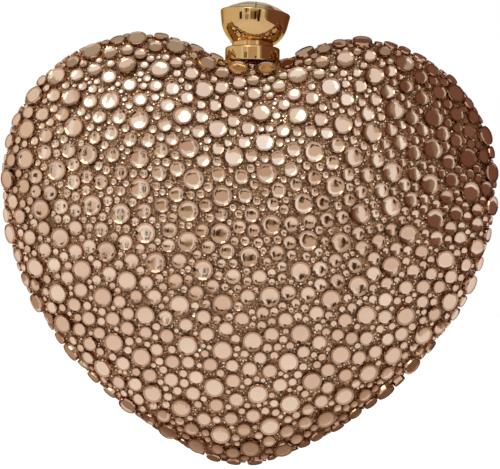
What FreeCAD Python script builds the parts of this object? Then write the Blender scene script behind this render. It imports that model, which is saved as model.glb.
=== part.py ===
import FreeCAD, Part
import math
import os
import random

# A hard-case heart-shaped evening purse. X runs across the heart, Y from front to back, Z up.
# The two halves meet at Y = 0, and the stones at the tip of the heart come down to about Z = 0.
# Lengths are in millimetres and angles in degrees.

# Heart outline of the stone bed, as tangent arcs from the cleft to the tip
bed_half_width = 78.8
lobe_radius = 45.0
lobe_inner_radius = 36.0
cleft_radius = 35.6
hip_radius = 81.4
hip_angle = 34.7
flank_radius = 120.8
tip_radius = 30.4

# Domed halves, measured from the edge of the frame to the crown of the stone bed
seam_half = 3.5
dome_height = 20.0
crown_drop = 20.0
dome_section_angles = (0, 8, 17, 27, 38, 50, 62, 74, 85)
cover_thickness = 1.0
shell_thickness = 2.0
lining_thickness = 1.0
glue_gap = 0.15

# Metal frames around the two mouths
seam_gap = 0.3
frame_inset = 0.4
band_thickness = 1.2
flange_reach = 6.0
flange_thickness = 0.9

# Barrel hinge at the tip
hinge_length = 16.0
hinge_height = 1.85
hinge_rise = 0.5
knuckle_radius = 1.35
middle_knuckle_length = 5.8
knuckle_gap = 0.3
hinge_end_gap = 0.3
hinge_pocket_depth = 3.2
pin_radius = 0.65
pin_clearance = 0.05

# Clasp collar and its guide tube in the cleft
collar_radius = 8.9
collar_height = 4.9
collar_lift = 1.3
collar_floor = 1.0
collar_edge_round = 0.7
pedestal_radius = 4.4
pedestal_gap = 0.7
guide_radius = 2.3
guide_drop = 0.6
guide_room = 0.4
solder_gap = 0.02

# Press knob
neck_radius = 6.7
neck_clearance = 0.08
neck_engaged = 1.7
neck_exposed = 1.6
belly_radius = 10.5
belly_height = 5.6
belly_bulge_shares = (0.6, 0.33)
bowl_height = 10.0
rim_radius = 11.5
rim_thickness = 0.9
crystal_seat_depth = 1.2
crystal_pocket_floor = 0.8
crystal_pocket_foot_radius = 3.0
crystal_gap = 0.12
crystal_crown_height = 3.1
crystal_table_radius = 4.9
crystal_sides = 16

# Stem, its clip and its return spring
stem_radius = 1.25
stem_clearance = 0.05
stem_thread = 2.4
clip_radius = 2.3
clip_thickness = 0.5
clip_slot = 1.5
groove_depth = 0.3
groove_room = 0.02
clip_gap = 0.05
spring_bore_radius = 4.6
spring_bore_rise = 2.4
spring_coil_radius = 3.6
spring_wire_radius = 0.35
spring_turns = 4
spring_end_gap = 0.1

# Spring catch on the back frame and striker on the front frame
plate_half_width = 5.0
plate_thickness = 0.8
plate_top_drop = 2.9
plate_window_half_width = 3.2
striker_bar_drop = 7.8
striker_bar_height = 1.2
catch_gap = 0.3
catch_base_height = 3.0
leaf_half_width = 2.4
leaf_thickness = 0.4
hook_overlap = 0.7
stem_leaf_gap = 0.2

# Eyes for a carrying strap, inside the mouth of the back half
eye_hole_radius = 1.7
eye_half_height = 3.5
eye_thickness = 1.0
eye_hole_reach = 3.6
eye_seat_inset = 1.0
eye_rivet_spread = 2.0

# Rivets
rivet_radius = 0.5
rivet_head_radius = 0.95
rivet_head_height = 0.45
rivet_gap = 0.02
rivet_edge = 1.3

# Flat-backed stones
large_radius = 3.2
large_height = 1.8
medium_radius = 2.4
medium_height = 1.45
stone_sink = 0.3
stone_sides = 8
stone_table_share = 0.8
stone_gap = 0.3
large_pitch = 9.4
medium_pitch = 5.4
rim_gap = 0.25
collar_room = 0.4
clasp_pair_offset = 4.6
clasp_pair_angle = 17
outline_step = 1.2
angle_step = 2
large_tries = 2600
medium_tries = 5200
front_seed = 11
back_seed = 29

# All cuts run past the faces that they open by this much
overrun = 2.0


def vec(x, y, z):
    return FreeCAD.Vector(x, y, z)


def box(x0, x1, y0, y1, z0, z1):
    return Part.makeBox(x1 - x0, y1 - y0, z1 - z0, vec(x0, y0, z0))


def rod(radius, z0, z1):
    return Part.makeCylinder(radius, z1 - z0, vec(0, 0, z0))


def rod_along(radius, start, end):
    run = end.sub(start)
    return Part.makeCylinder(radius, run.Length, start, run)


def front_of(shape):
    return shape.mirror(vec(0, 0, 0), vec(0, 1, 0))


# Heart outline: each arc is (centre x, centre z, radius on the bed, +1 if convex, start angle, end angle)
def heart_arcs():
    lobe_x = bed_half_width - lobe_radius
    inner_z = lobe_radius - lobe_inner_radius
    notch_z = inner_z + math.sqrt((lobe_inner_radius + cleft_radius) ** 2 - lobe_x**2)
    hip_x = bed_half_width - hip_radius
    turn = math.radians(hip_angle)
    flank_x = hip_x + (hip_radius - flank_radius) * math.cos(turn)
    flank_z = (flank_radius - hip_radius) * math.sin(turn)
    tip_z = flank_z - math.sqrt((flank_radius - tip_radius) ** 2 - flank_x**2)
    cleft_turn = math.atan2(inner_z - notch_z, lobe_x)
    tip_turn = math.atan2(tip_z - flank_z, -flank_x)
    right = [
        (lobe_x, inner_z, lobe_inner_radius, 1, cleft_turn + math.pi, math.pi / 2),
        (lobe_x, 0, lobe_radius, 1, math.pi / 2, 0),
        (hip_x, 0, hip_radius, 1, 0, -turn),
        (flank_x, flank_z, flank_radius, 1, -turn, tip_turn),
    ]
    left = [(-x, z, r, way, math.pi - b, math.pi - a) for x, z, r, way, a, b in reversed(right)]
    cleft = (0, notch_z, cleft_radius, -1, -math.pi - cleft_turn, cleft_turn)
    tip = (0, tip_z, tip_radius, 1, tip_turn, -math.pi - tip_turn)
    return [cleft] + right + [tip] + left


outline_arcs = heart_arcs()
cleft_arc = outline_arcs[0]
tip_arc = outline_arcs[5]
hinge_z = hinge_height
widest_z = hinge_z - hinge_rise - frame_inset + tip_arc[2] - tip_arc[1]
crown_z = widest_z - crown_drop
cleft_z = widest_z + cleft_arc[1] - cleft_arc[2]


def arc_point(arc, share, inset):
    x, z, radius, way, start, end = arc
    angle = start + (end - start) * share
    reach = radius - way * inset
    return x + reach * math.cos(angle), widest_z + z + reach * math.sin(angle)


def heart_wire(inset, scale, depth):
    edges = []
    for arc in outline_arcs:
        points = []
        for share in (0, 0.5, 1):
            x, z = arc_point(arc, share, inset)
            points.append(vec(scale * x, depth, crown_z + scale * (z - crown_z)))
        edges.append(Part.Arc(*points).toShape())
    return Part.Wire(edges)


def heart_prism(inset, near, far):
    return Part.Face(heart_wire(inset, 1, near)).extrude(vec(0, far - near, 0))


def heart_ring(outer_inset, inner_inset, near, far):
    hole = heart_prism(inner_inset, near - overrun, far + overrun)
    return heart_prism(outer_inset, near, far).cut(hole)


# A dome is a stack of shrinking hearts on a quarter ellipse
def dome(inset):
    wires = []
    for degrees in dome_section_angles:
        angle = math.radians(degrees)
        depth = seam_half + (dome_height - inset) * math.sin(angle)
        wires.append(heart_wire(inset, math.cos(angle), depth))
    return Part.makeLoft(wires, True, False)


def dome_skin(inset, thickness):
    return dome(inset).cut(dome(inset + thickness))


shell_inset = cover_thickness + glue_gap
lining_inset = shell_inset + shell_thickness + glue_gap
back_cover = dome_skin(0, cover_thickness)
back_shell = dome_skin(shell_inset, shell_thickness)
back_lining = dome_skin(lining_inset, lining_thickness)

# Frames: an outer band and an inner flange that the shell's rim is glued to
flange_far = seam_half - glue_gap
flange_near = flange_far - flange_thickness
frame_band = heart_ring(frame_inset, frame_inset + band_thickness, seam_gap / 2, flange_near)
frame_flange = heart_ring(frame_inset, flange_reach, flange_near, flange_far)
frame_blank = frame_band.fuse(frame_flange).removeSplitter()

pocket_half = hinge_length / 2 + hinge_end_gap
hinge_pocket = box(
    -pocket_half, pocket_half, -overrun, flange_near, hinge_z - overrun, hinge_z + hinge_pocket_depth
)
frame_blank = frame_blank.cut(hinge_pocket)


# Hinge: two knuckles on the front half, one on the back half and a pin
def knuckle(x0, x1, side):
    tube = rod_along(knuckle_radius, vec(x0, 0, hinge_z), vec(x1, 0, hinge_z))
    near, far = sorted((0, side * flange_near))
    foot = box(x0, x1, near, far, hinge_z, hinge_z + knuckle_radius)
    bore = rod_along(
        pin_radius + pin_clearance, vec(x0 - overrun, 0, hinge_z), vec(x1 + overrun, 0, hinge_z)
    )
    return tube.fuse(foot).removeSplitter().cut(bore)


hinge_half = hinge_length / 2
middle_half = middle_knuckle_length / 2
outer_near = middle_half + knuckle_gap
back_knuckle = knuckle(-middle_half, middle_half, 1)
front_knuckles = Part.makeCompound(
    [knuckle(-hinge_half, -outer_near, -1), knuckle(outer_near, hinge_half, -1)]
)
hinge_pin = rod_along(pin_radius, vec(-hinge_half, 0, hinge_z), vec(hinge_half, 0, hinge_z))

# Clasp collar: a cup on a short pedestal, with a guide tube down through the frames
collar_bottom = cleft_z + collar_lift
collar_top = collar_bottom + collar_height
guide_bottom = cleft_z - frame_inset - band_thickness - guide_drop


def turned(points):
    wire = Part.makePolygon([vec(r, 0, z) for r, z in points + points[:1]])
    return Part.Face(wire).revolve(vec(0, 0, 0), vec(0, 0, 1), 360)


collar_outside = collar_radius - collar_edge_round
clasp_collar = turned(
    [
        (0, guide_bottom),
        (guide_radius, guide_bottom),
        (guide_radius, cleft_z + pedestal_gap),
        (pedestal_radius, cleft_z + pedestal_gap),
        (pedestal_radius, collar_bottom),
        (collar_outside, collar_bottom),
        (collar_radius, collar_bottom + collar_edge_round),
        (collar_radius, collar_top - collar_edge_round),
        (collar_outside, collar_top),
        (neck_radius + neck_clearance, collar_top),
        (neck_radius + neck_clearance, collar_bottom + collar_floor),
        (0, collar_bottom + collar_floor),
    ]
)
clasp_collar = clasp_collar.cut(
    rod(stem_radius + stem_clearance, guide_bottom - overrun, collar_top + overrun)
)

# Knob: a neck that slides in the collar, under a bowl that holds the crystal
neck_bottom = collar_top - neck_engaged
bowl_bottom = collar_top + neck_exposed
bowl_top = bowl_bottom + bowl_height
bore_top = bowl_bottom + spring_bore_rise
stem_top = bore_top + stem_thread
pocket_foot_z = stem_top + crystal_pocket_floor
pocket_radius = rim_radius - rim_thickness


def knob_blank():
    bulge_r = neck_radius + (belly_radius - neck_radius) * belly_bulge_shares[0]
    bulge_z = bowl_bottom + belly_height * belly_bulge_shares[1]
    belly_top = bowl_bottom + belly_height
    belly = Part.Arc(
        vec(neck_radius, 0, bowl_bottom), vec(bulge_r, 0, bulge_z), vec(belly_radius, 0, belly_top)
    ).toShape()
    lower = Part.makePolygon(
        [vec(0, 0, neck_bottom), vec(neck_radius, 0, neck_bottom), vec(neck_radius, 0, bowl_bottom)]
    )
    upper = Part.makePolygon(
        [
            vec(belly_radius, 0, belly_top),
            vec(rim_radius, 0, bowl_top),
            vec(pocket_radius, 0, bowl_top),
            vec(pocket_radius, 0, bowl_top - crystal_seat_depth),
            vec(crystal_pocket_foot_radius, 0, pocket_foot_z),
            vec(0, 0, pocket_foot_z),
            vec(0, 0, neck_bottom),
        ]
    )
    wire = Part.Wire(lower.Edges + [belly] + upper.Edges)
    return Part.Face(wire).revolve(vec(0, 0, 0), vec(0, 0, 1), 360)


clasp_knob = knob_blank().cut(rod(spring_bore_radius, neck_bottom - overrun, bore_top))
clasp_knob = clasp_knob.cut(rod(stem_radius + solder_gap, neck_bottom, stem_top))


def polygon_wire(radius, z, sides):
    points = []
    for step in range(sides + 1):
        angle = 2 * math.pi * step / sides
        points.append(vec(radius * math.cos(angle), radius * math.sin(angle), z))
    return Part.makePolygon(points)


girdle_radius = pocket_radius - crystal_gap
girdle_z = bowl_top - crystal_seat_depth + crystal_gap
clasp_crystal = Part.makeLoft(
    [
        polygon_wire(crystal_pocket_foot_radius - crystal_gap, pocket_foot_z + crystal_gap, crystal_sides),
        polygon_wire(girdle_radius, girdle_z, crystal_sides),
        polygon_wire(girdle_radius, bowl_top, crystal_sides),
        polygon_wire(crystal_table_radius, bowl_top + crystal_crown_height, crystal_sides),
    ],
    True,
    True,
)

# Stem with a groove for its clip; it ends just above the leaf of the catch
leaf_top = cleft_z - striker_bar_drop - striker_bar_height - catch_gap
stem_bottom = leaf_top + stem_leaf_gap
clip_top = guide_bottom - clip_gap
clip_bottom = clip_top - clip_thickness
groove_radius = stem_radius - groove_depth
clasp_stem = rod(stem_radius, stem_bottom, stem_top)
groove = rod(stem_radius + overrun, clip_bottom - groove_room, clip_top + groove_room)
clasp_stem = clasp_stem.cut(
    groove.cut(rod(groove_radius, clip_bottom - overrun, clip_top + overrun))
)
clip_hole_radius = groove_radius + groove_room
stem_clip = rod(clip_radius, clip_bottom, clip_top)
stem_clip = stem_clip.cut(rod(clip_hole_radius, clip_bottom - overrun, clip_top + overrun))
stem_clip = stem_clip.cut(
    box(
        -clip_slot / 2, clip_slot / 2, 0, clip_radius + overrun, clip_bottom - overrun, clip_top + overrun
    )
)


# Return spring: one tube along a helix of biarcs, a quarter turn each
def helix_point(turn, base, pitch):
    angle = 2 * math.pi * turn
    return vec(
        spring_coil_radius * math.cos(angle), spring_coil_radius * math.sin(angle), base + pitch * turn
    )


def helix_heading(turn, pitch):
    angle = 2 * math.pi * turn
    rise = pitch / (2 * math.pi)
    heading = vec(-spring_coil_radius * math.sin(angle), spring_coil_radius * math.cos(angle), rise)
    return heading.normalize()


def arc_from_corner(start, corner, end):
    middle = (start + end) * 0.5
    half_turn = (corner - start).getAngle(end - start)
    top = middle + (corner - middle) * (math.tan(half_turn / 2) / math.tan(half_turn))
    return Part.Arc(start, top, end).toShape()


def biarc(start, heading, end, last_heading):
    span = end - start
    both = heading + last_heading
    a = 4 - both.dot(both)
    b = 2 * span.dot(both)
    c = -span.dot(span)
    reach = (-b + math.sqrt(b * b - 4 * a * c)) / (2 * a)
    near, far = start + heading * reach, end - last_heading * reach
    joint = (near + far) * 0.5
    return [arc_from_corner(start, near, joint), arc_from_corner(joint, far, end)]


def coil_spring(base, top):
    pitch = (top - base) / spring_turns
    edges = []
    for quarter in range(4 * spring_turns):
        a, b = quarter / 4, (quarter + 1) / 4
        edges += biarc(
            helix_point(a, base, pitch), helix_heading(a, pitch),
            helix_point(b, base, pitch), helix_heading(b, pitch),
        )
    section = Part.Circle(helix_point(0, base, pitch), helix_heading(0, pitch), spring_wire_radius)
    tube = Part.Wire(edges).makePipeShell([Part.Wire(section.toShape())], True, False)
    return Part.Solid(tube) if tube.ShapeType != "Solid" else tube


spring_low = collar_bottom + collar_floor + spring_end_gap + spring_wire_radius
spring_high = bore_top - spring_end_gap - spring_wire_radius
clasp_spring = coil_spring(spring_low, spring_high)

# Rivets run through a plate on the flange, with the head on the plate
holes_in_back = []
holes_in_front = []


def rivet(x, z, plate, side):
    head_y = flange_near - plate
    shank = rod_along(rivet_radius, vec(x, side * head_y, z), vec(x, side * flange_far, z))
    head = rod_along(
        rivet_head_radius, vec(x, side * (head_y - rivet_head_height), z), vec(x, side * head_y, z)
    )
    return shank.fuse(head)


def rivet_hole(x, z, side):
    start = vec(x, -side * overrun, z)
    return rod_along(rivet_radius + rivet_gap, start, vec(x, side * (flange_far + overrun), z))


# Catch: a bent spring-steel strip on the back flange. Striker: a looped plate on the front flange.
plate_top = cleft_z - plate_top_drop
plate_near = flange_near - plate_thickness
bar_top = cleft_z - striker_bar_drop
bar_bottom = bar_top - striker_bar_height
leaf_bottom = leaf_top - leaf_thickness
plate_rivet_x = (plate_window_half_width + plate_half_width) / 2
plate_rivet_z = cleft_z - flange_reach + rivet_edge


def looped_plate(bottom, window_bottom):
    plate = box(-plate_half_width, plate_half_width, plate_near, flange_near, bottom, plate_top)
    window = box(
        -plate_window_half_width,
        plate_window_half_width,
        plate_near - overrun,
        flange_near + overrun,
        window_bottom,
        plate_top + overrun,
    )
    return plate.cut(window)


striker = front_of(looped_plate(bar_bottom, bar_top))
hook_near = -flange_near - catch_gap
catch_spring = looped_plate(leaf_bottom, leaf_bottom + catch_base_height)
catch_leaf = box(
    -leaf_half_width, leaf_half_width, hook_near - leaf_thickness, flange_near, leaf_bottom, leaf_top
)
catch_hook = box(
    -leaf_half_width,
    leaf_half_width,
    hook_near - leaf_thickness,
    hook_near,
    leaf_bottom,
    bar_bottom + hook_overlap,
)
catch_spring = catch_spring.fuse(catch_leaf).fuse(catch_hook).removeSplitter()

striker_rivets = []
catch_rivets = []
for x in (-plate_rivet_x, plate_rivet_x):
    striker = striker.cut(rivet_hole(x, plate_rivet_z, -1))
    catch_spring = catch_spring.cut(rivet_hole(x, plate_rivet_z, 1))
    holes_in_front.append(rivet_hole(x, plate_rivet_z, -1))
    holes_in_back.append(rivet_hole(x, plate_rivet_z, 1))
    striker_rivets.append(rivet(x, plate_rivet_z, plate_thickness, -1))
    catch_rivets.append(rivet(x, plate_rivet_z, plate_thickness, 1))

# Strap eyes: tabs riveted to the back flange at the widest part of the heart
eye_near = flange_near - eye_thickness
eye_outer_x = bed_half_width - frame_inset - band_thickness - eye_seat_inset
eye_hole_x = bed_half_width - flange_reach - eye_hole_reach
eye_rivet_x = bed_half_width - flange_reach + rivet_edge


def strap_eye(side):
    near, far = sorted((side * eye_hole_x, side * eye_outer_x))
    tab = box(near, far, eye_near, flange_near, widest_z - eye_half_height, widest_z + eye_half_height)
    centre = vec(side * eye_hole_x, eye_near, widest_z)
    tab = tab.fuse(rod_along(eye_half_height, centre, centre + vec(0, eye_thickness, 0)))
    hole_start = centre - vec(0, overrun, 0)
    hole = rod_along(eye_hole_radius, hole_start, centre + vec(0, eye_thickness + overrun, 0))
    return tab.removeSplitter().cut(hole)


strap_eye_left = strap_eye(-1)
strap_eye_right = strap_eye(1)
strap_rivets = []
for z in (widest_z - eye_rivet_spread, widest_z + eye_rivet_spread):
    strap_eye_left = strap_eye_left.cut(rivet_hole(-eye_rivet_x, z, 1))
    strap_eye_right = strap_eye_right.cut(rivet_hole(eye_rivet_x, z, 1))
    for x in (-eye_rivet_x, eye_rivet_x):
        holes_in_back.append(rivet_hole(x, z, 1))
        strap_rivets.append(rivet(x, z, eye_thickness, 1))

# The guide tube is soldered into the back frame and runs free in a notch of the front frame
back_frame = frame_blank.cut(rod(guide_radius + solder_gap, guide_bottom - overrun, cleft_z + overrun))
for hole in holes_in_back:
    back_frame = back_frame.cut(hole)
front_frame = front_of(frame_blank)
front_frame = front_frame.cut(rod(guide_radius + guide_room, guide_bottom - overrun, cleft_z + overrun))
for hole in holes_in_front:
    front_frame = front_frame.cut(hole)


# Places for stones: points of the bed with their normals, weighted by the area around them
def bed_cells():
    cells, weights = [], []
    for arc in outline_arcs:
        radius, way, start, end = arc[2:]
        count = max(1, round(radius * abs(end - start) / outline_step))
        for index in range(count):
            share = (index + 0.5) / count
            x, z = arc_point(arc, share, 0)
            angle = start + (end - start) * share
            along = vec(-math.sin(angle), 0, math.cos(angle))
            for degrees in range(angle_step, 90, angle_step):
                rise = math.radians(degrees)
                scale = math.cos(rise)
                spot = vec(
                    scale * x, seam_half + dome_height * math.sin(rise), crown_z + scale * (z - crown_z)
                )
                across = vec(
                    -math.sin(rise) * x, dome_height * math.cos(rise), -math.sin(rise) * (z - crown_z)
                )
                normal = along.cross(across)
                weights.append(scale * normal.Length)
                if normal.y < 0:
                    normal = normal * -1
                cells.append((spot, normal.normalize()))
    return cells, weights


bed_spots, bed_weights = bed_cells()
stone_stand = large_height - stone_sink


def seat_is_free(spot, normal, radius, pitch, taken):
    fall = radius * math.sqrt(max(0, 1 - normal.y**2))
    if spot.y - fall < seam_half + rim_gap:
        return False
    off_axis = math.hypot(spot.x, spot.y) - radius
    lift = radius * math.sqrt(max(0, 1 - normal.z**2)) + stone_stand
    if off_axis < collar_radius + collar_room and spot.z + lift > collar_bottom - collar_room:
        return False
    for other, other_radius in taken:
        room = radius + other_radius + stone_gap
        if abs(other_radius - radius) < stone_gap:
            room = max(room, pitch)
        if (other - spot).Length < room:
            return False
    return True


def scatter(draw, radius, pitch, tries, taken):
    seats = []
    for spot, normal in draw.choices(bed_spots, weights=bed_weights, k=tries):
        if seat_is_free(spot, normal, radius, pitch, taken):
            taken.append((spot, radius))
            seats.append((spot, normal))
    return seats


def nearest_cell(x, degrees):
    rise = math.radians(degrees)
    depth = seam_half + dome_height * math.sin(rise)
    drop = crown_z + math.cos(rise) * (cleft_z - crown_z)
    target = vec(x, depth, drop)
    return min(bed_spots, key=lambda cell: (cell[0] - target).Length)


def stone_blank(radius, height):
    base = polygon_wire(radius, -stone_sink, stone_sides)
    table = polygon_wire(radius * stone_table_share, height - stone_sink, stone_sides)
    return Part.makeLoft([base, table], True, True)


def set_stones(seats, radius, height, draw):
    blank = stone_blank(radius, height)
    stones = []
    for spot, normal in seats:
        turn = FreeCAD.Rotation(vec(0, 0, 1), draw.uniform(0, 360))
        stand = FreeCAD.Rotation(vec(0, 0, 1), normal)
        place = FreeCAD.Placement(spot, stand.multiply(turn))
        stones.append(blank.transformed(place.toMatrix(), True))
    return Part.makeCompound(stones)


# Large stones are spread evenly first, with a pair beside the clasp; medium stones fill in
def stone_groups(seed):
    draw = random.Random(seed)
    taken = []
    large = []
    for x in (-clasp_pair_offset, clasp_pair_offset):
        spot, normal = nearest_cell(x, clasp_pair_angle)
        taken.append((spot, large_radius))
        large.append((spot, normal))
    large += scatter(draw, large_radius, large_pitch, large_tries, taken)
    medium = scatter(draw, medium_radius, medium_pitch, medium_tries, taken)
    print("stones", len(large), len(medium))
    return (
        set_stones(large, large_radius, large_height, draw),
        set_stones(medium, medium_radius, medium_height, draw),
    )


front_large, front_medium = stone_groups(front_seed)
back_large, back_medium = stone_groups(back_seed)

nodes = {
    "front_shell": front_of(back_shell),
    "front_cover": front_of(back_cover),
    "front_lining": front_of(back_lining),
    "front_frame": front_frame,
    "front_large_stones": front_of(front_large),
    "front_medium_stones": front_of(front_medium),
    "front_knuckles": front_knuckles,
    "striker": striker,
    "striker_rivets": Part.makeCompound(striker_rivets),
    "back_shell": back_shell,
    "back_cover": back_cover,
    "back_lining": back_lining,
    "back_frame": back_frame,
    "back_large_stones": back_large,
    "back_medium_stones": back_medium,
    "back_knuckle": back_knuckle,
    "hinge_pin": hinge_pin,
    "catch_spring": catch_spring,
    "catch_rivets": Part.makeCompound(catch_rivets),
    "strap_eye_left": strap_eye_left,
    "strap_eye_right": strap_eye_right,
    "strap_rivets": Part.makeCompound(strap_rivets),
    "clasp_collar": clasp_collar,
    "clasp_spring": clasp_spring,
    "clasp_knob": clasp_knob,
    "clasp_crystal": clasp_crystal,
    "clasp_stem": clasp_stem,
    "stem_clip": stem_clip,
}

os.makedirs("parts", exist_ok=True)
for name, shape in nodes.items():
    shape.exportStep(f"parts/{name}.step")
    print(name, shape.isValid(), len(shape.Solids), round(shape.Volume, 1))
print("hinge axis", hinge_z, "cleft", cleft_z, "widest level", widest_z, "crown", crown_z)
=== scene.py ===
import itertools
import math
import random

import bmesh
import bpy
from mathutils import Matrix, Quaternion, Vector, geometry, noise
from mathutils.bvhtree import BVHTree


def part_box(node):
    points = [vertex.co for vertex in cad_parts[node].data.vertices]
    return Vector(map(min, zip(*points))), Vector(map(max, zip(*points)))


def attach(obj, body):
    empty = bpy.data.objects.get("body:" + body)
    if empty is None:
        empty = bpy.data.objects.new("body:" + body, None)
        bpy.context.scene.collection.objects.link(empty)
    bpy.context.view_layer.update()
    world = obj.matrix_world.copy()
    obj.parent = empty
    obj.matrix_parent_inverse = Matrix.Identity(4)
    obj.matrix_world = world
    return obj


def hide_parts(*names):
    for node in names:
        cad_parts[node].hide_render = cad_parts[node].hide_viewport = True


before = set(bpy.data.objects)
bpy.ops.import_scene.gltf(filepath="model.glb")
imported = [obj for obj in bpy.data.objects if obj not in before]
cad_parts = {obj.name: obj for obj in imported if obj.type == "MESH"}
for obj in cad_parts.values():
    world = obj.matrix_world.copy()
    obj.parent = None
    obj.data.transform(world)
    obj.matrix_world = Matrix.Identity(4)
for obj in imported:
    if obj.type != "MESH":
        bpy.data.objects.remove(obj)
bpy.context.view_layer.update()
scene = bpy.context.scene
mm = 0.001  # sizes below are in millimetres, Blender works in metres
mergeGap = 0.001 * mm
snapGap = 0.01 * mm


# colours and node trees

def linear(hexColour):
    channels = [int(hexColour[i:i + 2], 16) / 255 for i in (1, 3, 5)]
    return [c / 12.92 if c <= 0.04045 else ((c + 0.055) / 1.055) ** 2.4 for c in channels] + [1.0]


def addNode(tree, kind, settings=None, inputs=None):
    node = tree.nodes.new(kind)
    for name, value in (settings or {}).items():
        setattr(node, name, value)
    for socket, value in (inputs or {}).items():
        if isinstance(value, bpy.types.NodeSocket):
            tree.links.new(value, node.inputs[socket])
        else:
            node.inputs[socket].default_value = value
    return node


def addMath(tree, operation, first, second):
    return addNode(tree, "ShaderNodeMath", {"operation": operation}, {0: first, 1: second}).outputs[0]


def newMaterial(name, inputs):
    material = bpy.data.materials.new(name)
    material.use_nodes = True
    tree = material.node_tree
    surface = tree.nodes["Principled BSDF"]
    for socket, value in inputs.items():
        surface.inputs[socket].default_value = value
    return material, tree, surface


def mixColours(tree, factor, first, second):
    mix = addNode(tree, "ShaderNodeMix", {"data_type": "RGBA"}, {0: factor, 6: first, 7: second})
    return mix.outputs[2]


def twoTone(tree, factor, first, second):
    return mixColours(tree, factor, linear(first), linear(second))


# Foil-backed lead glass, cut and polished: a mirror seen through a clear glossy layer.
# Each facet shows one small piece of the room in the colour of the foil; ring, crown and sides are painted
# darker, as painted shade.
crystalLook = {
    # side is the colour of painted shade that low tones fade to
    "champagne": {"pale": "#eed9c7", "deep": "#c9a287", "side": "#8d6b54"},
    "straw": {"pale": "#fff3d6", "deep": "#c2b07c", "side": "#4b3b20"},
    "roughness": 0.1, "coat": 0.5, "coatRoughness": 0.04, "coatIor": 1.58, "paintedShadeTone": 0.25,
}


def foiledCrystal(foil):
    look = crystalLook | crystalLook[foil]
    material, tree, surface = newMaterial(foil + " foiled crystal", {
        "Metallic": 1.0,
        "Roughness": look["roughness"],
        "Coat Weight": look["coat"],
        "Coat Roughness": look["coatRoughness"],
        "Coat IOR": look["coatIor"],
    })
    tone = addNode(tree, "ShaderNodeAttribute", {"attribute_name": "tone"})
    face = twoTone(tree, tone.outputs["Fac"], look["deep"], look["pale"])
    lit = addNode(tree, "ShaderNodeMapRange", None, {
        "Value": tone.outputs["Fac"],
        "From Max": look["paintedShadeTone"],
    })
    # tones below paintedShadeTone fade to the side colour: painted shade on ring, crown, girdle and crystal
    # edge lines
    colour = mixColours(tree, lit.outputs["Result"], linear(look["side"]), face)
    tree.links.new(colour, surface.inputs["Base Color"])
    return material


# Crushed glass grains with a bronze mirror coat, about a millimetre each
grainLook = {"pale": "#ffecd6", "deep": "#a37a58", "roughness": 0.14}


def glassGrain():
    look = grainLook
    material, tree, surface = newMaterial("mirror coated glass grain", {
        "Metallic": 1.0,
        "Roughness": look["roughness"],
    })
    tone = addNode(tree, "ShaderNodeAttribute", {"attribute_name": "tone"})
    colour = twoTone(tree, tone.outputs["Fac"], look["deep"], look["pale"])
    tree.links.new(colour, surface.inputs["Base Color"])
    return material


# Knitted polyester net with glitter dust fused into hot-melt glue: a speckled bronze ground.
# Each speck is one flake, painted bright or dull at random as a painted glint, with dark glue between.
netLook = {
    "glue": "#2b190c", "dull": "#5e402b", "bright": "#d3ab84", "speckMm": 0.75, "glueShare": 0.12,
    "bumpMm": 0.2, "bumpStrength": 0.9, "metallic": 0.55, "roughness": 0.42, "thicknessMm": 0.7,
}


def glueNet():
    look = netLook
    material, tree, surface = newMaterial("glitter dust on glue net", {
        "Roughness": look["roughness"],
        "Metallic": look["metallic"],
    })
    place = addNode(tree, "ShaderNodeTexCoord")
    speck = {"Vector": place.outputs["Object"], "Scale": 1 / (look["speckMm"] * mm)}
    cells = addNode(tree, "ShaderNodeTexVoronoi", {"feature": "F1"}, speck)
    edges = addNode(tree, "ShaderNodeTexVoronoi", {"feature": "DISTANCE_TO_EDGE"}, speck)
    shade = addNode(tree, "ShaderNodeSeparateColor", None, {"Color": cells.outputs["Color"]})
    # bright and dull flakes at random: painted glints
    flake = twoTone(tree, shade.outputs["Red"], look["dull"], look["bright"])
    inside = addNode(tree, "ShaderNodeMapRange", None, {
        "Value": edges.outputs["Distance"],
        "From Max": look["glueShare"],
    })
    colour = mixColours(tree, inside.outputs["Result"], linear(look["glue"]), flake)
    bump = addNode(tree, "ShaderNodeBump", {"invert": True}, {
        "Height": cells.outputs["Distance"],
        "Distance": look["bumpMm"] * mm,
        "Strength": look["bumpStrength"],
    })
    tree.links.new(colour, surface.inputs["Base Color"])
    tree.links.new(bump.outputs["Normal"], surface.inputs["Normal"])
    return material


# Gold plate over brass, polished or brushed: a yellow mirror with faint wipe marks
goldLook = {
    "bright": "#dcbd8c", "warm": "#c6a26a", "edge": "#e2c48e", "patchMm": 9.0, "markMm": 0.35,
    "markRange": (0.3, 0.7), "roughness": {"mirror": (0.03, 0.09), "satin": (0.14, 0.3)},
}


def goldPlate(finish):
    look = goldLook
    faint, strong = look["markRange"]
    smoothest, dullest = look["roughness"][finish]
    material, tree, surface = newMaterial(finish + " gold plate", {
        "Metallic": 1.0,
        "Specular Tint": linear(look["edge"]),
    })
    place = addNode(tree, "ShaderNodeTexCoord")
    patch = addNode(tree, "ShaderNodeTexNoise", None, {
        "Vector": place.outputs["Object"],
        "Scale": 1 / (look["patchMm"] * mm),
        "Detail": 3.0,
    })
    marks = addNode(tree, "ShaderNodeTexNoise", None, {
        "Vector": place.outputs["Object"],
        "Scale": 1 / (look["markMm"] * mm),
        "Detail": 2.0,
    })
    rough = addNode(tree, "ShaderNodeMapRange", None, {
        "Value": marks.outputs["Fac"],
        "From Min": faint,
        "From Max": strong,
        "To Min": smoothest,
        "To Max": dullest,
    })
    colour = twoTone(tree, patch.outputs["Fac"], look["warm"], look["bright"])
    tree.links.new(colour, surface.inputs["Base Color"])
    tree.links.new(rough.outputs["Result"], surface.inputs["Roughness"])
    return material


# Nickel-plated spring steel, drawn and tumbled: a grey satin metal with fine lines along Z
nickelLook = {
    "bright": "#c9c4bc", "dim": "#a9a49d", "lineMm": 0.15, "stretch": 0.08,
    "smoothest": 0.16, "dullest": 0.38,
}


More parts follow.
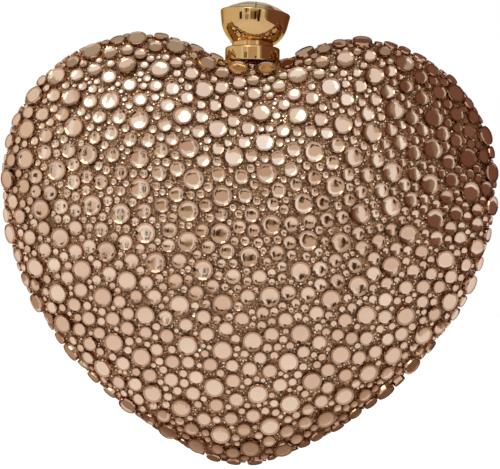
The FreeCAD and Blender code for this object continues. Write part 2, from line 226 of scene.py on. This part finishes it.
def nickelSteel():
    look = nickelLook
    material, tree, surface = newMaterial("nickel plated steel", {"Metallic": 1.0})
    place = addNode(tree, "ShaderNodeTexCoord")
    along = addNode(tree, "ShaderNodeMapping", None, {
        "Vector": place.outputs["Object"],
        "Scale": (1.0, 1.0, look["stretch"]),
    })
    lines = addNode(tree, "ShaderNodeTexNoise", None, {
        "Vector": along.outputs["Vector"],
        "Scale": 1 / (look["lineMm"] * mm),
        "Detail": 2.0,
    })
    rough = addNode(tree, "ShaderNodeMapRange", None, {
        "Value": lines.outputs["Fac"],
        "To Min": look["smoothest"],
        "To Max": look["dullest"],
    })
    colour = twoTone(tree, lines.outputs["Fac"], look["dim"], look["bright"])
    tree.links.new(colour, surface.inputs["Base Color"])
    tree.links.new(rough.outputs["Result"], surface.inputs["Roughness"])
    return material


# Satin-weave polyester lining: long floating threads give a soft sheen across them
satinLook = {
    "thread": "#e8d4b6", "shade": "#c9ad86", "threadMm": 0.5, "threadWander": 1.2, "bumpMm": 0.06,
    "bumpStrength": 0.5, "slubMm": 0.7, "slubStretch": 0.1,
    "roughness": 0.33, "sheen": 0.4, "sheenRoughness": 0.4, "anisotropic": 0.6,
}
wavePeriod = 2 * math.pi / 20  # width of one band of a wave texture of scale 1


def liningSatin():
    look = satinLook
    material, tree, surface = newMaterial("satin lining", {
        "Roughness": look["roughness"],
        "Sheen Weight": look["sheen"],
        "Sheen Roughness": look["sheenRoughness"],
        "Anisotropic": look["anisotropic"],
    })
    place = addNode(tree, "ShaderNodeTexCoord")
    # real satin threads are 0.1 mm apart, drawn five times as coarse so that they show
    threads = addNode(tree, "ShaderNodeTexWave", {"wave_type": "BANDS", "bands_direction": "X"}, {
        "Vector": place.outputs["Object"],
        "Scale": wavePeriod / (look["threadMm"] * mm),
        "Distortion": look["threadWander"],
        "Detail": 2.0,
    })
    # thicker and thinner yarns run as faint streaks from tip to clasp
    along = addNode(tree, "ShaderNodeMapping", None, {
        "Vector": place.outputs["Object"],
        "Scale": (1, 1, look["slubStretch"]),
    })
    slubs = addNode(tree, "ShaderNodeTexNoise", None, {
        "Vector": along.outputs["Vector"],
        "Scale": 1 / (look["slubMm"] * mm),
        "Detail": 3.0,
    })
    colour = twoTone(tree, slubs.outputs["Fac"], look["shade"], look["thread"])
    bump = addNode(tree, "ShaderNodeBump", None, {
        "Height": threads.outputs["Fac"],
        "Distance": look["bumpMm"] * mm,
        "Strength": look["bumpStrength"],
    })
    tree.links.new(colour, surface.inputs["Base Color"])
    tree.links.new(bump.outputs["Normal"], surface.inputs["Normal"])
    return material


# Moulded ABS, cream, with a fine spark-eroded texture
absLook = {"cream": "#d8cbb6", "shade": "#cdbfa8", "gritMm": 0.3, "bumpMm": 0.02, "roughness": 0.5}


def mouldedAbs():
    look = absLook
    material, tree, surface = newMaterial("moulded ABS", {"Roughness": look["roughness"]})
    place = addNode(tree, "ShaderNodeTexCoord")
    grit = addNode(tree, "ShaderNodeTexNoise", None, {
        "Vector": place.outputs["Object"],
        "Scale": 1 / (look["gritMm"] * mm),
        "Detail": 1.0,
    })
    colour = twoTone(tree, grit.outputs["Fac"], look["shade"], look["cream"])
    bump = addNode(tree, "ShaderNodeBump", None, {
        "Height": grit.outputs["Fac"],
        "Distance": look["bumpMm"] * mm,
    })
    tree.links.new(colour, surface.inputs["Base Color"])
    tree.links.new(bump.outputs["Normal"], surface.inputs["Normal"])
    return material


crystal = foiledCrystal("champagne")
knobCrystal = foiledCrystal("straw")
grain = glassGrain()
net = glueNet()
mirrorGold = goldPlate("mirror")
frameGold = goldPlate("satin")
nickel = nickelSteel()
satin = liningSatin()
shellAbs = mouldedAbs()
print("materials ready")


# pieces

def bakeMesh(name, bm):
    mesh = bpy.data.meshes.new(name)
    bm.to_mesh(mesh)
    bm.free()
    return mesh


def addObject(name, bm, material):
    mesh = bakeMesh(name, bm)
    mesh.materials.append(material)
    made = bpy.data.objects.new(name, mesh)
    scene.collection.objects.link(made)
    return made


def addPiece(name, bm, material, body, replaced=()):
    piece = addObject(name, bm, material)
    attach(piece, body)
    if replaced:
        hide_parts(*replaced)
    return piece


# a mesh whose faces each keep a tone: how much of the foil's colour the facet shows; low tones on stone
# facets are painted shade
def tonedMesh():
    bm = bmesh.new()
    bm.faces.layers.float.new("tone")
    return bm


def tint(bm, faces, tone):
    layer = bm.faces.layers.float["tone"]
    for face in faces:
        face[layer] = tone


def topFace(bm):
    return [f for f in bm.faces if f.normal.z > 0.9]


# clasp: a turned collar, and a goblet-shaped knob with a cut stone in its mouth that leans a little
collarCut = {
    "height": 4.9, "floor": 1.0, "pedestal": 4.4, "pedestalRise": 0.6, "tube": 2.3, "bore": 1.3,
    "mouth": 6.78, "topRound": 0.75, "bottomRound": 0.5,
}
knobCut = {
    "neck": 6.7, "shoulder": 3.3, "lean": 3.8,
    "foot": (7.2, 0), "hip": (9.0, 1.5), "side": (10.45, 3.5), "belt": (10.9, 6.7), "bowlSteps": 18,
    "rimRounds": (0.75, 0.2), "lip": 1.0, "lipDepth": 0.9,
}
crystalCut = {"sides": 10, "steps": ((8.1, 1.45), (4.6, 1.35)), "tones": (0.3, 1.0), "shadeLine": 0.2, "seed": 5}
turning = {"segments": 96, "roundSteps": 6, "sharpAngle": 35}


def turnedPiece(corners, rounds):
    bm = bmesh.new()
    verts = [bm.verts.new((radius * mm, 0, z)) for radius, z in corners]
    for first, second in zip(verts, verts[1:] + verts[:1]):
        bm.edges.new((first, second))
    bmesh.ops.spin(
        bm, geom=bm.verts[:] + bm.edges[:], cent=(0, 0, 0), axis=(0, 0, 1),
        angle=2 * math.pi, steps=turning["segments"], use_merge=True,
    )
    bmesh.ops.remove_doubles(bm, verts=bm.verts[:], dist=mergeGap)
    bmesh.ops.recalc_face_normals(bm, faces=bm.faces[:])
    for (radius, z), size in rounds:
        ring = [e for e in bm.edges if all(onRing(v.co, radius * mm, z) for v in e.verts)]
        bmesh.ops.bevel(
            bm, geom=ring, affect="EDGES", offset=size * mm, segments=turning["roundSteps"], profile=0.5,
            material=-1, clamp_overlap=True,
        )
    return bm


def onRing(place, radius, z):
    return abs(math.hypot(place.x, place.y) - radius) < snapGap and abs(place.z - z) < snapGap


def smoothTurned(piece):
    piece.data.shade_smooth()
    piece.data.set_sharp_from_angle(angle=math.radians(turning["sharpAngle"]))


def addCollar():
    cut = collarCut
    low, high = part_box("clasp_collar")
    top = high.z
    under = top - cut["height"] * mm
    foot = under - cut["pedestalRise"] * mm
    floor = under + cut["floor"] * mm
    wide = high.x / mm
    corners = [
        (cut["bore"], low.z), (cut["tube"], low.z), (cut["tube"], foot), (cut["pedestal"], foot),
        (cut["pedestal"], under), (wide, under), (wide, top), (cut["mouth"], top), (cut["mouth"], floor),
        (cut["bore"], floor),
    ]
    rounds = [((wide, top), cut["topRound"]), ((wide, under), cut["bottomRound"])]
    bm = turnedPiece(corners, rounds)
    smoothTurned(addPiece("claspCollar", bm, mirrorGold, "back_half", ["clasp_collar"]))


def leanKnob(bm, waist):
    tilt = Matrix.Rotation(math.radians(knobCut["lean"]), 3, "Y")
    upper = [v for v in bm.verts if v.co.z > waist.z]
    bmesh.ops.rotate(bm, verts=upper, cent=waist, matrix=tilt)


def addKnob():
    cut = knobCut
    low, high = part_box("clasp_knob")
    waist = Vector((0, 0, low.z + cut["shoulder"] * mm))
    rim = high.z
    wide = high.x / mm
    inner = wide - cut["lip"]
    seat = rim - cut["lipDepth"] * mm
    knots = [Vector(cut[knot]) for knot in ("foot", "hip", "side", "belt")]
    bowl = [(radius, waist.z + z * mm) for radius, z in geometry.interpolate_bezier(*knots, cut["bowlSteps"])]
    corners = [
        (0, low.z), (cut["neck"], low.z), (cut["neck"], waist.z), *bowl,
        (wide, rim), (inner, rim), (inner, seat), (0, seat),
    ]
    rounds = list(zip(((wide, rim), (inner, rim)), cut["rimRounds"]))
    bm = turnedPiece(corners, rounds)
    leanKnob(bm, waist)
    smoothTurned(addPiece("claspKnob", bm, mirrorGold, "clasp_button", ["clasp_knob"]))
    addKnobStone(inner, seat, rim, waist)


# two rows of facets round a table, with a dark line of painted shade along every edge
def addKnobStone(inner, seat, rim, waist):
    stone = crystalCut
    bm = tonedMesh()
    bmesh.ops.create_cone(
        bm, cap_ends=True, segments=stone["sides"], radius1=inner * mm, radius2=inner * mm, depth=rim - seat,
    )
    bmesh.ops.translate(bm, verts=bm.verts[:], vec=(0, 0, (rim + seat) / 2))
    table = topFace(bm)
    past = inner
    for radius, rise in stone["steps"]:
        bmesh.ops.inset_individual(bm, faces=table, thickness=(past - radius) * mm, depth=rise * mm)
        past = radius
    draw = random.Random(stone["seed"])
    for face in bm.faces:
        tint(bm, [face], draw.uniform(*stone["tones"]))
    crown = [e for e in bm.edges if min(v.co.z for v in e.verts) > rim - snapGap]
    lines = bmesh.ops.bevel(
        bm, geom=crown, affect="EDGES", offset=stone["shadeLine"] * mm, segments=1, profile=0.5, material=-1,
    )
    # the edge lines take tone 0 and so the straw side colour: painted shade
    tint(bm, lines["faces"], 0)
    bmesh.ops.recalc_face_normals(bm, faces=bm.faces[:])
    leanKnob(bm, waist)
    addPiece("claspCrystal", bm, knobCrystal, "clasp_button", ["clasp_crystal"])


addCollar()
addKnob()
print("clasp done")


# A cut stone of radius 1 and height 1: a girdle painted dark as painted shade, a low crown, a ring of facets
# and a table.
# Behind real crown facets the foil looks tilted inwards, so ring and table are sunk like a dish,
# each step as the radius where it ends and its slope; hand polishing leaves the table a little wavy.
stoneCut = {
    "girdle": 0.7, "girdleTop": 0.985, "rim": 0.95, "girdleShadeTone": 0.3, "crownShadeTone": 0.27, "ringShadeTone": 0.21,
    "large": {"sides": 14, "flatness": 1.85, "steps": ((0.76, 19), (0.43, 4), (0, 2))},
    "medium": {"sides": 12, "flatness": 1.72, "steps": ((0.76, 19), (0.43, 4), (0, 2))},
    "small": {"sides": 10, "flatness": 1.36, "steps": ((0.76, 19), (0, 4))},
    "wave": 0.009, "waveInset": 0.1, "apex": 0.06, "waist": 0.5, "snap": 0.01,
}
chipCut = {"sides": 4, "top": 0.7}


def cutStone(size, seed):
    cut = stoneCut | stoneCut[size]
    draw = random.Random(seed)
    bm = tonedMesh()
    bmesh.ops.create_cone(
        bm, cap_ends=True, segments=cut["sides"], radius1=1, radius2=cut["girdleTop"], depth=cut["girdle"],
    )
    bmesh.ops.translate(bm, verts=bm.verts[:], vec=(0, 0, cut["girdle"] / 2))
    # girdle, crown and ring get low tones: painted shade that darkens them against the table
    tint(bm, bm.faces, cut["girdleShadeTone"])
    table = topFace(bm)
    past = cut["rim"]
    crown = bmesh.ops.inset_individual(
        bm, faces=table, thickness=cut["girdleTop"] - past, depth=1 - cut["girdle"],
    )
    tint(bm, crown["faces"], cut["crownShadeTone"])
    tint(bm, table, cut["ringShadeTone"])
    for radius, slope in cut["steps"]:
        drop = (past - radius) * math.tan(math.radians(slope)) * cut["flatness"]
        if radius:
            bmesh.ops.inset_individual(bm, faces=table, thickness=past - radius, depth=-drop)
        else:
            middle = bmesh.ops.poke(bm, faces=table, offset=-drop)
            bmesh.ops.translate(bm, verts=middle["verts"], vec=(cut["apex"], 0, 0))
        past = radius
    edge = cut["steps"][0][0] + cut["snap"]
    for vert in bm.verts:
        if vert.co.z > cut["waist"] and vert.co.xy.length < edge - cut["waveInset"]:
            vert.co.z += draw.uniform(-1, 1) * cut["wave"] * cut["flatness"]
    for face in bm.faces:
        if face.calc_center_median().z > cut["waist"] and max(v.co.xy.length for v in face.verts) < edge:
            face.smooth = True
            tint(bm, [face], 1)
    bmesh.ops.recalc_face_normals(bm, faces=bm.faces[:])
    return bakeMesh(size, bm)


def glassChip(name):
    bm = tonedMesh()
    bmesh.ops.create_cone(
        bm, cap_ends=True, segments=chipCut["sides"], radius1=1, radius2=chipCut["top"], depth=1,
    )
    bmesh.ops.translate(bm, verts=bm.verts[:], vec=(0, 0, 0.5))
    tint(bm, bm.faces, 1)
    return bakeMesh(name, bm)


# copies of one small mesh, each with its own place and tone
def setCopies(master, places, tones):
    bm = bmesh.new()
    for place in places:
        copy = master.copy()
        copy.transform(place)
        bm.from_mesh(copy)
        bpy.data.meshes.remove(copy)
    layer = bm.faces.layers.float["tone"]
    facesEach = len(master.polygons)
    for index, face in enumerate(bm.faces):
        face[layer] *= tones[index // facesEach]
    return bm


def seatMatrix(draw, spot, axis, radius, height):
    stand = Vector((0, 0, 1)).rotation_difference(axis).to_matrix().to_4x4()
    turn = Matrix.Rotation(draw.uniform(0, 2 * math.pi), 4, "Z")
    size = Matrix.Diagonal((radius, radius, height, 1))
    return Matrix.Translation(spot) @ stand @ turn @ size


# a CAD stone is a frustum whose largest triangle lies in its base or its table
def stoneSeats(node, side):
    bm = bmesh.new()
    bm.from_mesh(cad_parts[node].data)
    bmesh.ops.remove_doubles(bm, verts=bm.verts[:], dist=mergeGap)
    seats = []
    waiting = set(bm.faces)
    for first in bm.faces[:]:
        if first not in waiting:
            continue
        island = [first]
        waiting.discard(first)
        for face in island:
            for other in [f for vert in face.verts for f in vert.link_faces]:
                if other in waiting:
                    waiting.discard(other)
                    island.append(other)
        axis = max(island, key=lambda f: f.calc_area()).normal.copy()
        if axis.y * side < 0:
            axis.negate()
        under = [f for f in island if f.normal.dot(axis) < -0.99]
        base = sum((f.calc_center_median() * f.calc_area() for f in under), Vector())
        base /= sum(f.calc_area() for f in under)
        radius = max((v.co - base).length for f in under for v in f.verts)
        height = max((v.co - base).dot(axis) for f in island for v in f.verts)
        seats.append((base, axis, radius, height))
    bm.free()
    return seats


stoneSet = {"lean": 3.0, "toneMean": 0.62, "toneSpread": 0.2, "toneLow": 0.3, "swell": 1.04}


def leaning(draw, axis, degrees):
    across = axis.orthogonal().normalized()
    across.rotate(Quaternion(axis, draw.uniform(0, 2 * math.pi)))
    tilted = axis.copy()
    tilted.rotate(Quaternion(across, math.radians(draw.gauss(0, degrees))))
    return tilted


def toneDraw(draw):
    return min(1, max(stoneSet["toneLow"], draw.gauss(stoneSet["toneMean"], stoneSet["toneSpread"])))


# outward faces of a domed skin, as triangles with their areas
def outerFaces(node, side):
    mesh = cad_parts[node].data
    mesh.calc_loop_triangles()
    corners, weights = [], []
    for triangle in mesh.loop_triangles:
        if triangle.normal.y * side > 0.01:
            corners.append([mesh.vertices[i].co.copy() for i in triangle.vertices])
            weights.append(triangle.area)
    return corners, weights


# Stones in falling sizes fill the bed between the larger stones, none touching, and grains pack the gaps.
# A setter shoves each stone up against its neighbours, so a try that is too near one moves off it.
fillSizes = {
    "stones": ((2.2, 2.4, 3000), (1.42, 1.62, 16000), (1.1, 1.42, 12000), (0.85, 1.1, 9000)),  # radii, tries
    "stoneGap": 0.08, "shoves": 4, "height": (0.35, 0.5), "sink": 0.3,
    "grainRadius": 0.44, "grainSpread": 0.12, "grainGap": -0.1, "grainTries": 80000, "grainHeight": 0.55,
    "grainHeights": (0.8, 1.3), "grainLean": 22.0, "rimGap": 0.35, "rimShare": 0.6, "claspRoom": 0.15,
    "cell": {"stones": 5.8, "grains": 1.3},
}


class Bed:
    def __init__(self, node, side):
        self.side = side
        self.corners, self.weights = outerFaces(node, side)
        self.cells = {"stones": {}, "grains": {}}
        self.rim = abs(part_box(node)[0 if side > 0 else 1].y)
        self.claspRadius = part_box("clasp_collar")[1].x + fillSizes["claspRoom"] * mm
        self.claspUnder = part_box("clasp_collar")[1].z - collarCut["height"] * mm

    def key(self, kind, spot):
        size = fillSizes["cell"][kind] * mm
        return tuple(math.floor(c / size) for c in spot)

    def add(self, kind, spot, radius):
        self.cells[kind].setdefault(self.key(kind, spot), []).append((spot, radius))

    def near(self, kind, spot):
        for cell in itertools.product(*((i - 1, i, i + 1) for i in self.key(kind, spot))):
            yield from self.cells[kind].get(cell, ())

    def clear(self, kind, spot, radius, gap):
        return all((other - spot).length >= radius + size + gap for other, size in self.near(kind, spot))

    def inside(self, spot, radius, height):
        if abs(spot.y) - fillSizes["rimShare"] * radius < self.rim + fillSizes["rimGap"] * mm:
            return False
        return math.hypot(spot.x, spot.y) > self.claspRadius + radius or spot.z + height < self.claspUnder

    def room(self, spot):
        least, nearest = fillSizes["cell"]["stones"] * mm, spot
        for other, size in self.near("stones", spot):
            distance = (other - spot).length - size
            if distance < least:
                least, nearest = distance, other
        return least - fillSizes["stoneGap"] * mm, nearest

    def nestle(self, spot, normal, lowest, highest):
        for shove in range(fillSizes["shoves"]):
            room, nearest = self.room(spot)
            if room < 0:
                return spot, 0
            if room >= lowest:
                return spot, min(room, highest)
            away = spot - nearest
            away -= normal * away.dot(normal)
            spot = spot + away.normalized() * (lowest - room)
        return spot, 0

    def spots(self, draw, tries):
        for a, b, c in draw.choices(self.corners, weights=self.weights, k=tries):
            u, v = draw.random(), draw.random()
            if u + v > 1:
                u, v = 1 - u, 1 - v
            normal = (b - a).cross(c - a).normalized()
            if normal.y * self.side < 0:
                normal.negate()
            yield a + (b - a) * u + (c - a) * v, normal


# skins wrapped on a dome of the frame: a half sphere is cast outwards on to the CAD faces
domeNet = {"around": 240, "up": 44, "lowest": 0.4, "reachMm": 80}


def domeCentre(node, side):
    low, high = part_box(node)
    return Vector((0, low.y if side > 0 else high.y, 0.5 * (low.z + high.z)))


def wrapDome(node, side, faceSide):
    middle = domeCentre(node, side)
    corners = outerFaces(node, faceSide)[0]
    flat = [corner for face in corners for corner in face]
    tree = BVHTree.FromPolygons(flat, [(i, i + 1, i + 2) for i in range(0, len(flat), 3)])
    bm = bmesh.new()
    bmesh.ops.create_uvsphere(bm, u_segments=domeNet["around"], v_segments=2 * domeNet["up"], radius=1)
    upright = Matrix.Rotation(-side * math.pi / 2, 3, "X")
    bmesh.ops.rotate(bm, verts=bm.verts[:], cent=(0, 0, 0), matrix=upright)
    wrong = [v for v in bm.verts if v.co.y * side < -0.001]
    bmesh.ops.delete(bm, geom=wrong, context="VERTS")
    lowest = math.sin(math.radians(domeNet["lowest"]))
    for vert in bm.verts:
        way = vert.co.copy()
        if abs(way.y) < lowest:
            way.y = side * lowest
        hit = tree.ray_cast(middle, way.normalized())[0]
        if hit is None:
            hit = tree.find_nearest(middle + way * domeNet["reachMm"] * mm)[0]
        vert.co = hit
    bmesh.ops.recalc_face_normals(bm, faces=bm.faces[:])
    return bm


def addSheet(name, bm, material, half, node, thickness):
    area = sum(face.calc_area() for face in bm.faces)
    cloth = addPiece(name, bm, material, half + "_half", [node])
    cloth.data.shade_smooth()
    wall = cloth.modifiers.new("thickness", "SOLIDIFY")
    wall.thickness = thickness * mm
    wall.offset = -1
    print(name, round(area * 1e4, 1), "cm2")


cutStones = {size: cutStone(size, seed) for size, seed in (("large", 3), ("medium", 4), ("small", 5))}
chip = glassChip("chip")


def setLargeStones(half, side, bed, draw):
    for size in ("large", "medium"):
        node = f"{half}_{size}_stones"
        places, tones = [], []
        for spot, axis, radius, height in stoneSeats(node, side):
            radius *= stoneSet["swell"]
            bed.add("stones", spot, radius)
            axis = leaning(draw, axis, stoneSet["lean"])
            places.append(seatMatrix(draw, spot, axis, radius, height))
            tones.append(toneDraw(draw))
        bm = setCopies(cutStones[size], places, tones)
        addPiece(f"{half}{size.title()}Stones", bm, crystal, half + "_half", [node])
        print(half, size, "stones", len(places))


def setSmallStones(half, bed, draw):
    least, share = fillSizes["height"]
    sink = fillSizes["sink"] * mm
    places, tones = [], []
    for lowest, highest, tries in fillSizes["stones"]:
        for spot, normal in bed.spots(draw, tries):
            spot, radius = bed.nestle(spot, normal, lowest * mm, highest * mm)
            height = least * mm + share * radius
            if radius and bed.inside(spot, radius, height):
                bed.add("stones", spot, radius)
                axis = leaning(draw, normal, stoneSet["lean"])
                places.append(seatMatrix(draw, spot - normal * sink, axis, radius, height))
                tones.append(toneDraw(draw))
    bm = setCopies(cutStones["small"], places, tones)
    addPiece(half + "SmallStones", bm, crystal, half + "_half")
    print(half, "small stones", len(places))


def strewGrains(half, bed, draw):
    gap = fillSizes["grainGap"] * mm
    sink = fillSizes["sink"] * mm
    places, tones = [], []
    for spot, normal in bed.spots(draw, fillSizes["grainTries"]):
        radius = mm * (fillSizes["grainRadius"] + fillSizes["grainSpread"] * draw.uniform(-1, 1))
        height = fillSizes["grainHeight"] * mm * draw.uniform(*fillSizes["grainHeights"])
        free = all(bed.clear(kind, spot, radius, gap) for kind in ("stones", "grains"))
        if free and bed.inside(spot, radius, height):
            bed.add("grains", spot, radius)
            axis = leaning(draw, normal, fillSizes["grainLean"])
            places.append(seatMatrix(draw, spot - normal * sink, axis, radius, height))
            tones.append(draw.random())
    bm = setCopies(chip, places, tones)
    addPiece(half + "Grains", bm, grain, half + "_half")
    print(half, "grains", len(places))


def addGroundNet(half, side):
    node = half + "_cover"
    bm = wrapDome(node, side, side)
    addSheet(half + "GroundNet", bm, net, half, node, netLook["thicknessMm"])


# lining cloth, eased into the dome with small gathers that start at the mouth and long shallow folds
lining = {
    "puckerMm": 0.8, "gathers": 9.0, "fadeMm": 5.0, "foldMm": 13.0, "foldStretch": 0.3, "foldShare": 0.8,
    "lift": 0.9, "thicknessMm": 0.45, "noisePlace": (3.1, 7.7, 1.9),
}


def addLining(half, side):
    node = half + "_lining"
    bm = wrapDome(node, side, -side)
    middle = domeCentre(node, side)
    x, y, z = lining["noisePlace"]
    seed = Vector((x, y * side, z))
    for vert in bm.verts:
        rise = abs(vert.co.y - middle.y) / mm
        fade = math.exp(-rise / lining["fadeMm"])
        flat = Vector((vert.co.x, 0, vert.co.z * lining["foldStretch"])) / (lining["foldMm"] * mm)
        outward = Vector((vert.co.x, 0, vert.co.z - middle.z)).normalized()
        gather = noise.noise(outward * lining["gathers"] + seed)
        ripple = gather * fade + lining["foldShare"] * noise.noise(flat + seed)
        inward = (middle - vert.co).normalized()
        vert.co += inward * mm * lining["puckerMm"] * (lining["lift"] + ripple)
    addSheet(half + "LiningCloth", bm, satin, half, node, lining["thicknessMm"])


def dressHalf(half, side, seed):
    draw = random.Random(seed)
    bed = Bed(half + "_cover", side)
    setLargeStones(half, side, bed, draw)
    setSmallStones(half, bed, draw)
    strewGrains(half, bed, draw)
    addGroundNet(half, side)
    addLining(half, side)


dressHalf("front", -1, 41)
dressHalf("back", 1, 43)


# CAD nodes that stay as they are, with their finishes
nodeFinish = {
    frameGold: (
        "front_frame", "back_frame", "front_knuckles", "back_knuckle", "strap_eye_left", "strap_eye_right",
        "strap_rivets", "striker_rivets", "catch_rivets",
    ),
    nickel: ("hinge_pin", "catch_spring", "striker", "clasp_spring", "clasp_stem", "stem_clip"),
    shellAbs: ("front_shell", "back_shell"),
}
for material, names in nodeFinish.items():
    for name in names:
        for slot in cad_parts[name].material_slots:
            slot.material = material
print("frame nodes finished")


# studio: white paper floor, white surround, one soft lamp, and cards of several tones that the stones mirror
studio = {
    "floorDrop": 35.0, "floorSize": 3000.0, "floorGlow": 0.6, "floorMirror": 0.4, "paper": "#f4f2ef",
    "paperRoughness": 0.9, "surround": "#ffffff", "fill": 0.68, "fillColour": "#fff6ee",
    "keyPlace": (-190, -430, 470), "keyAim": (0, 0, 75), "keySize": 270, "keyWatts": 0.5,
    "keyColour": "#fff4e2",
}


# rays that see the white surround itself: camera rays in full, mirror and glass rays in part
def seenRays(tree, mirrored):
    path = addNode(tree, "ShaderNodeLightPath")
    seen = path.outputs["Is Camera Ray"]
    for kind in ("Is Glossy Ray", "Is Transmission Ray"):
        part = addMath(tree, "MULTIPLY", path.outputs[kind], mirrored)
        seen = addMath(tree, "MAXIMUM", seen, part)
    return seen


def addWorld():
    world = bpy.data.worlds.new("studio")
    scene.world = world
    world.use_nodes = True
    tree = world.node_tree
    light = tree.nodes["Background"]
    light.inputs["Color"].default_value = linear(studio["fillColour"])
    light.inputs["Strength"].default_value = studio["fill"]
    white = addNode(tree, "ShaderNodeBackground", None, {
        "Color": linear(studio["surround"]),
        "Strength": 1.0,
    })
    both = addNode(tree, "ShaderNodeMixShader", None, {
        0: seenRays(tree, 1.0),
        1: light.outputs[0],
        2: white.outputs[0],
    })
    tree.links.new(both.outputs[0], tree.nodes["World Output"].inputs["Surface"])


def addFloor():
    material, tree, surface = newMaterial("white paper sweep", {
        "Base Color": linear(studio["paper"]),
        "Roughness": studio["paperRoughness"],
        "Emission Color": linear(studio["surround"]),
    })
    lift = addMath(tree, "MULTIPLY", seenRays(tree, studio["floorMirror"]), studio["floorGlow"])
    tree.links.new(lift, surface.inputs["Emission Strength"])
    bm = bmesh.new()
    bmesh.ops.create_grid(bm, x_segments=1, y_segments=1, size=studio["floorSize"] * mm / 2)
    bmesh.ops.translate(bm, verts=bm.verts[:], vec=(0, 0, -studio["floorDrop"] * mm))
    floor = addObject("floor", bm, material)


# each card: centre, half width, half height in mm, turn about Z and tilt in degrees, colours of its two ends
cards = {
    "rightCard": ((205, 82, 286), 318, 214, 90, 0, "#7f5a4b", "#7f5a4b"),
    "rightFadeCard": ((205, -288, 286), 52, 214, 90, 0, "#b3a58c", "#8f7c64"),
    "backCard": ((0, 420, 600), 900, 450, 0, 0, "#b7ad9b", "#b7ad9b"),
    "shoulderCard": ((77, 65, 205), 53, 70, 0, 0, "#764f47", "#764f47"),
    "leftCard": ((-420, 60, 260), 420, 240, 90, 0, "#f0e3d2", "#f0e3d2"),
    "wallCard": ((-390, -560, 240), 260, 220, 40, 0, "#e4d9cb", "#e4d9cb"),
    "frontCard": ((10, -640, 165), 215, 160, 0, 0, "#d6c1ad", "#d6c1ad"),
    "darkMidCard": ((0, -470, 66), 24, 36, 0, 0, "#1d1410", "#1d1410"),
    "darkLeftCard": ((-232, -443, 66), 40, 24, -28, 0, "#2b2114", "#2b2114"),
    "darkRightCard": ((100, -468, 30), 36, 45, 13, 0, "#33261a", "#33261a"),
    "highLeftCard": ((-225, -425, 155), 44, 46, -28, 0, "#3a2c14", "#3a2c14"),
    "frontLowCard": ((-15, -485, 74), 120, 30, 0, 0, "#94835f", "#8a7353"),
    "farLeftCard": ((-385, -330, 95), 42, 32, -49, 0, "#3f3016", "#3f3016"),
    "highRightCard": ((112, -463, 112), 26, 42, 13, 0, "#33261a", "#33261a"),
    "ceilingCard": ((-60, 130, 700), 600, 330, 0, -90, "#b3a795", "#b3a795"),
    # cards under the purse are painted shade: the shadowed floor beneath it as the stones mirror it
    "underShadeFadeCard": ((60, -18, -33), 28, 120, 90, -90, "#dccab8", "#83644f"),
    "underShadeCard": ((60, 135, -33), 125, 120, 90, -90, "#7b5d49", "#6a4e3e"),
    "underLeftShadeCard": ((-180, 130, -33), 120, 120, 0, -90, "#bba48d", "#a58a72"),
}


def addCards():
    for name, (centre, halfWide, halfHigh, turn, tilt, first, second) in cards.items():
        material = bpy.data.materials.new(name)
        material.use_nodes = True
        tree = material.node_tree
        tree.nodes.remove(tree.nodes["Principled BSDF"])
        place = addNode(tree, "ShaderNodeTexCoord")
        across = addNode(tree, "ShaderNodeSeparateXYZ", None, {0: place.outputs["UV"]})
        colour = twoTone(tree, across.outputs["X"], first, second)
        glow = addNode(tree, "ShaderNodeEmission", None, {"Color": colour})
        tree.links.new(glow.outputs[0], tree.nodes["Material Output"].inputs["Surface"])
        bm = bmesh.new()
        bm.loops.layers.uv.new("UVMap")
        bmesh.ops.create_grid(bm, x_segments=1, y_segments=1, size=1, calc_uvs=True)
        bmesh.ops.scale(bm, verts=bm.verts[:], vec=(halfWide * mm, halfHigh * mm, 1))
        spin = Matrix.Rotation(math.radians(turn), 4, "Z") @ Matrix.Rotation(math.radians(90 + tilt), 4, "X")
        bmesh.ops.transform(bm, matrix=Matrix.Translation(Vector(centre) * mm) @ spin, verts=bm.verts[:])
        card = addObject(name, bm, material)
        card.visible_camera = False
        card.visible_diffuse = False
        card.visible_shadow = False


def addKeyLamp():
    data = bpy.data.lights.new("keyLamp", "AREA")
    data.shape = "DISK"
    data.color = linear(studio["keyColour"])[:3]
    data.size = studio["keySize"] * mm
    data.energy = studio["keyWatts"]
    lamp = bpy.data.objects.new("keyLamp", data)
    lamp.location = Vector(studio["keyPlace"]) * mm
    lamp.rotation_euler = (Vector(studio["keyAim"]) * mm - lamp.location).to_track_quat("-Z", "Y").to_euler()
    scene.collection.objects.link(lamp)


# the photograph: square on to the front, rolled a little so that the heart leans clockwise
shot = {
    "distance": 450.0, "aim": (0.75, 0, 74.2), "widthAtAim": 162.9, "roll": 1.5, "sensor": 36.0, "near": 10.0,
}


def addCamera():
    data = bpy.data.cameras.new("photoCamera")
    data.sensor_width = shot["sensor"]
    data.lens = shot["sensor"] * shot["distance"] / shot["widthAtAim"]
    data.clip_start = shot["near"] * mm
    camera = bpy.data.objects.new("photoCamera", data)
    aim = Vector(shot["aim"]) * mm
    camera.location = aim - Vector((0, shot["distance"] * mm, 0))
    roll = Matrix.Rotation(math.radians(shot["roll"]), 3, "Z")
    camera.rotation_euler = (Matrix.Rotation(math.pi / 2, 3, "X") @ roll).to_euler()
    scene.collection.objects.link(camera)
    scene.camera = camera


addWorld()
addFloor()
addCards()
addKeyLamp()
addCamera()
scene.view_settings.view_transform = "Standard"
print("studio ready")
